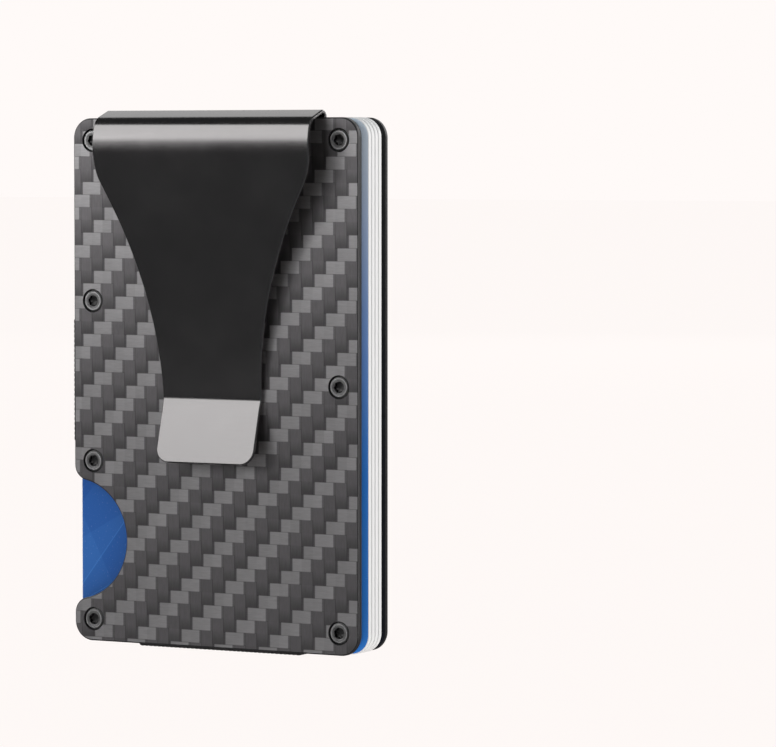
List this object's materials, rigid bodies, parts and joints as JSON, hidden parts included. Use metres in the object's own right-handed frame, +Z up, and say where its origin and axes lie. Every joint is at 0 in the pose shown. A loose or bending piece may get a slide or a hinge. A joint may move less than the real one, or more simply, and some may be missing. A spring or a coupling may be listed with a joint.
{
  "type": "card wallet with money clip",
  "caption": "Slim card wallet of clear-coated carbon plates, elastic-tensioned, with a sprung money clip on one face and a round finder-tag holder on the other",
  "frame": {"origin": "middle of the card bay, on the underside of the bottom strap that the wallet stands on", "axes": "+X towards the open side, +Y through the wallet from the money clip to the tag holder, +Z up along the wallet"},
  "size_m": [0.0545, 0.0187, 0.0873],
  "materials": {
    "carbon_twill": "clear-coated two by two twill carbon laminate",
    "inner_plate": "grey hard-anodised aluminium",
    "screws": "turned stainless steel, satin",
    "clip_steel": "dark polished spring steel",
    "elastic": "black ribbed woven elastic",
    "bezel": "satin black coat",
    "foam": "closed-cell foam",
    "tag_shell": "gloss white moulding",
    "tag_cover": "mirror-polished lid in two tones, black and white",
    "coin_cell": "nickel-plated steel can",
    "circuit_board": "green solder mask",
    "card_printed": "glossy laminated card, blue print on the outward face",
    "card_plain": "glossy white laminated card"
  },
  "bodies": {
    "front_half": {"front_cover": "carbon_twill", "front_inner_plate": "inner_plate", "front_screws": "screws", "clip_tang": "clip_steel", "elastic_top": "elastic", "elastic_bottom": "elastic", "elastic_side": "elastic"},
    "clip_arm": {"clip_arm": "clip_steel"},
    "back_half": {"back_cover": "carbon_twill", "back_inner_plate": "inner_plate", "back_screws": "screws", "tracker_bezel": "bezel", "bezel_screws": "screws", "tracker_pad": "foam", "tracker_shell": "tag_shell", "tracker_cover": "tag_cover", "tracker_battery": "coin_cell", "tracker_board": "circuit_board"},
    "card_1": {"card_1": "card_printed"},
    "card_2": {"card_2": "card_plain"},
    "card_3": {"card_3": "card_plain"},
    "card_4": {"card_4": "card_printed"}
  },
  "joints": [
    {"name": "clip_flex", "type": "hinge", "parent": "front_half", "child": "clip_arm", "pos_m": [0, -0.00917, 0.08475], "axis": [-1, 0, 0], "range_deg": [0, 6], "stiffness_Nm_per_rad": 1, "springref_deg": -5.73},
    {"name": "halves_spread", "type": "slide", "parent": "front_half", "child": "back_half", "axis": [0, 1, 0], "range_m": [0, 0.0056], "stiffness_N_per_m": 900, "springref_m": -0.01, "deforming": ["elastic_top", "elastic_bottom", "elastic_side"]},
    {"name": "card_1_slide", "type": "slide", "parent": "front_half", "child": "card_1", "axis": [1, 0, 0], "range_m": [0, 0.05]},
    {"name": "card_2_slide", "type": "slide", "parent": "front_half", "child": "card_2", "axis": [1, 0, 0], "range_m": [0, 0.05]},
    {"name": "card_3_slide", "type": "slide", "parent": "front_half", "child": "card_3", "axis": [1, 0, 0], "range_m": [0, 0.05]},
    {"name": "card_4_slide", "type": "slide", "parent": "front_half", "child": "card_4", "axis": [1, 0, 0], "range_m": [0, 0.05]}
  ]
}
